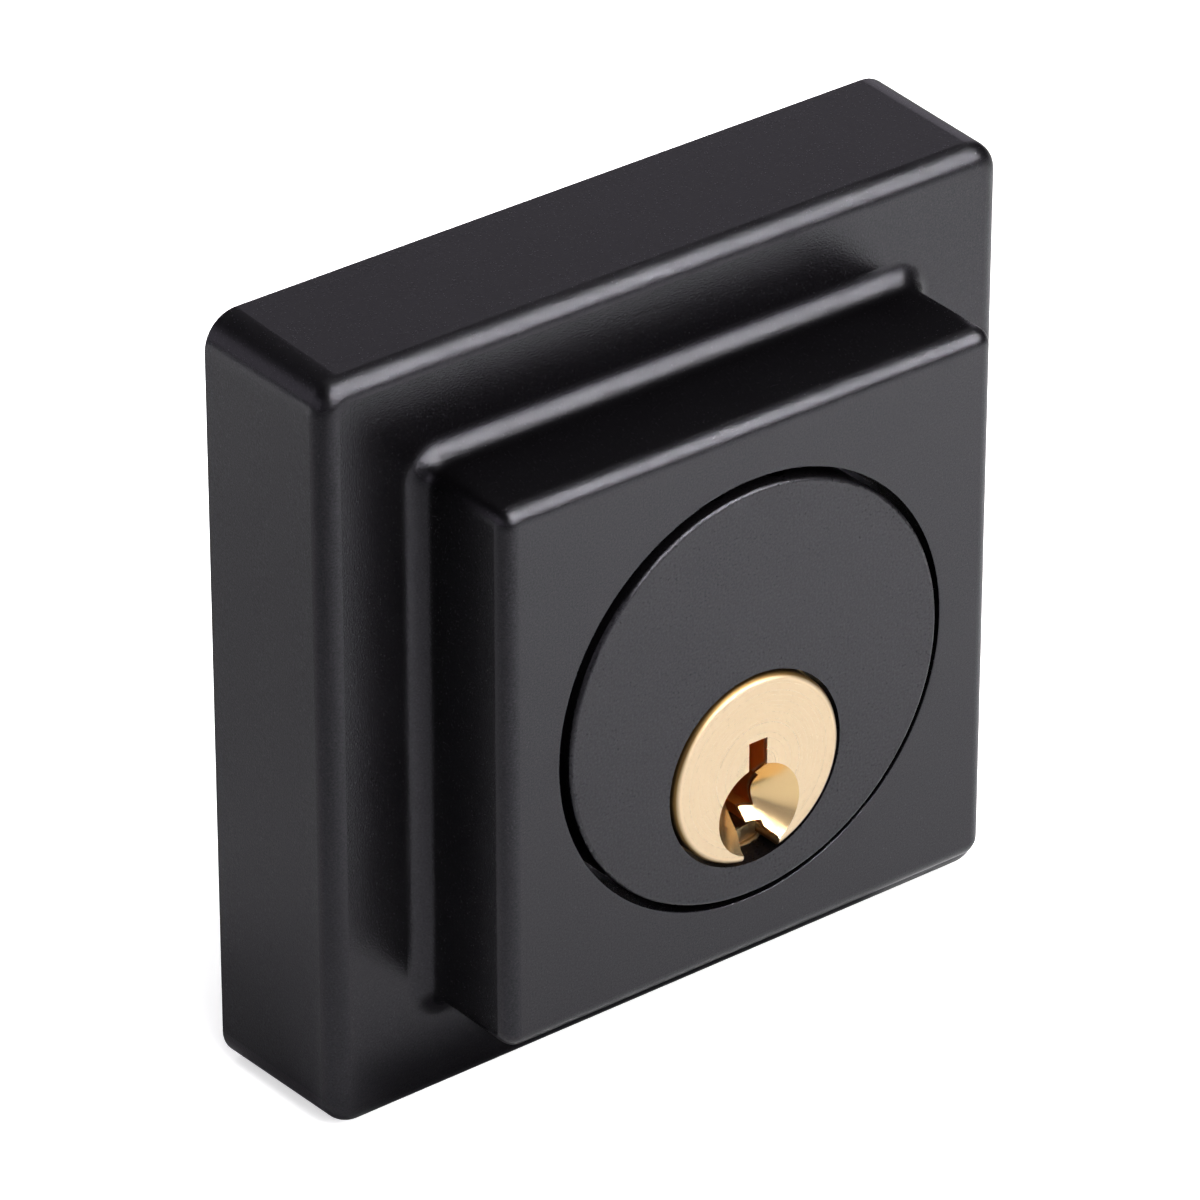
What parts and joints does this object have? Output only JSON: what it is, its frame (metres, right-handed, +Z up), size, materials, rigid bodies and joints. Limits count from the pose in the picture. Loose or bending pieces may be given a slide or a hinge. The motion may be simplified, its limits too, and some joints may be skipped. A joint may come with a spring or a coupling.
{
  "type": "deadbolt door lock",
  "caption": "Outside half of a deadbolt lock: a stepped square housing holds a keyed pin-tumbler cylinder that turns a flat tailpiece through the door.",
  "frame": {"origin": "centre of the housing's rear rim, in the plane of the door's outside face", "axes": "+Y into the door, +Z up, +X to the right as seen from outside"},
  "size_m": [0.06, 0.0588, 0.06],
  "materials": {
    "black_coat": "fine-grained satin black coating on a zinc casting",
    "black_cylinder": "satin black face on a brass body",
    "plug_brass": "turned bright brass",
    "cap_brass": "machined brass",
    "key_pin_brass": "machined brass",
    "driver_steel": "bright drawn pin",
    "spring_steel": "bright drawn wire",
    "hard_steel": "hardened ground steel",
    "plated_steel": "bright zinc plate",
    "screw_steel": "bright zinc plate",
    "post_steel": "turned zinc-plated steel"
  },
  "bodies": {
    "lock_case": {"housing": "black_coat", "cylinder_body": "black_cylinder", "drill_guard_pins": "hard_steel", "chamber_plugs": "cap_brass", "clamp_plate": "plated_steel", "cylinder_screws": "screw_steel", "mounting_post_left": "post_steel", "mounting_post_right": "post_steel", "pin_spring_1": "spring_steel", "pin_spring_2": "spring_steel", "pin_spring_3": "spring_steel", "pin_spring_4": "spring_steel", "pin_spring_5": "spring_steel"},
    "plug_assembly": {"plug": "plug_brass", "plug_cap": "cap_brass", "cap_spring": "spring_steel"},
    "tail": {"tailpiece": "plated_steel"},
    "cap_lock": {"cap_pin": "hard_steel"},
    "key_pin_1": {"key_pin_1": "key_pin_brass"},
    "driver_pin_1": {"driver_pin_1": "driver_steel"},
    "key_pin_2": {"key_pin_2": "key_pin_brass"},
    "driver_pin_2": {"driver_pin_2": "driver_steel"},
    "key_pin_3": {"key_pin_3": "key_pin_brass"},
    "driver_pin_3": {"driver_pin_3": "driver_steel"},
    "key_pin_4": {"key_pin_4": "key_pin_brass"},
    "driver_pin_4": {"driver_pin_4": "driver_steel"},
    "key_pin_5": {"key_pin_5": "key_pin_brass"},
    "driver_pin_5": {"driver_pin_5": "driver_steel"}
  },
  "joints": [
    {"name": "plug_turn", "type": "hinge", "parent": "lock_case", "child": "plug_assembly", "pos_m": [0, 0, -0.00605], "axis": [0, 1, 0], "range_deg": [-90, 90]},
    {"name": "tailpiece_swing", "type": "hinge", "parent": "plug_assembly", "child": "tail", "pos_m": [0, 0, -0.00605], "axis": [0, 1, 0], "range_deg": [0, 90]},
    {"name": "key_pin_1_lift", "type": "slide", "parent": "plug_assembly", "child": "key_pin_1", "axis": [0, 0, 1], "range_m": [0, 0.0016]},
    {"name": "key_pin_2_lift", "type": "slide", "parent": "plug_assembly", "child": "key_pin_2", "axis": [0, 0, 1], "range_m": [0, 0.0025]},
    {"name": "key_pin_3_lift", "type": "slide", "parent": "plug_assembly", "child": "key_pin_3", "axis": [0, 0, 1], "range_m": [0, 0.0008]},
    {"name": "key_pin_4_lift", "type": "slide", "parent": "plug_assembly", "child": "key_pin_4", "axis": [0, 0, 1], "range_m": [0, 0.002]},
    {"name": "key_pin_5_lift", "type": "slide", "parent": "plug_assembly", "child": "key_pin_5", "axis": [0, 0, 1], "range_m": [0, 0.0012]},
    {"name": "driver_pin_1_lift", "type": "slide", "parent": "lock_case", "child": "driver_pin_1", "axis": [0, 0, 1], "range_m": [0, 0.003], "stiffness_N_per_m": 120, "springref_m": -0.006, "deforming": ["pin_spring_1"]},
    {"name": "driver_pin_2_lift", "type": "slide", "parent": "lock_case", "child": "driver_pin_2", "axis": [0, 0, 1], "range_m": [0, 0.003], "stiffness_N_per_m": 120, "springref_m": -0.006, "deforming": ["pin_spring_2"]},
    {"name": "driver_pin_3_lift", "type": "slide", "parent": "lock_case", "child": "driver_pin_3", "axis": [0, 0, 1], "range_m": [0, 0.003], "stiffness_N_per_m": 120, "springref_m": -0.006, "deforming": ["pin_spring_3"]},
    {"name": "driver_pin_4_lift", "type": "slide", "parent": "lock_case", "child": "driver_pin_4", "axis": [0, 0, 1], "range_m": [0, 0.003], "stiffness_N_per_m": 120, "springref_m": -0.006, "deforming": ["pin_spring_4"]},
    {"name": "driver_pin_5_lift", "type": "slide", "parent": "lock_case", "child": "driver_pin_5", "axis": [0, 0, 1], "range_m": [0, 0.003], "stiffness_N_per_m": 120, "springref_m": -0.006, "deforming": ["pin_spring_5"]},
    {"name": "cap_pin_press", "type": "slide", "parent": "plug_assembly", "child": "cap_lock", "axis": [0, -1, 0], "range_m": [0, 0.00085], "stiffness_N_per_m": 200, "springref_m": -0.003, "deforming": ["cap_spring"]}
  ]
}
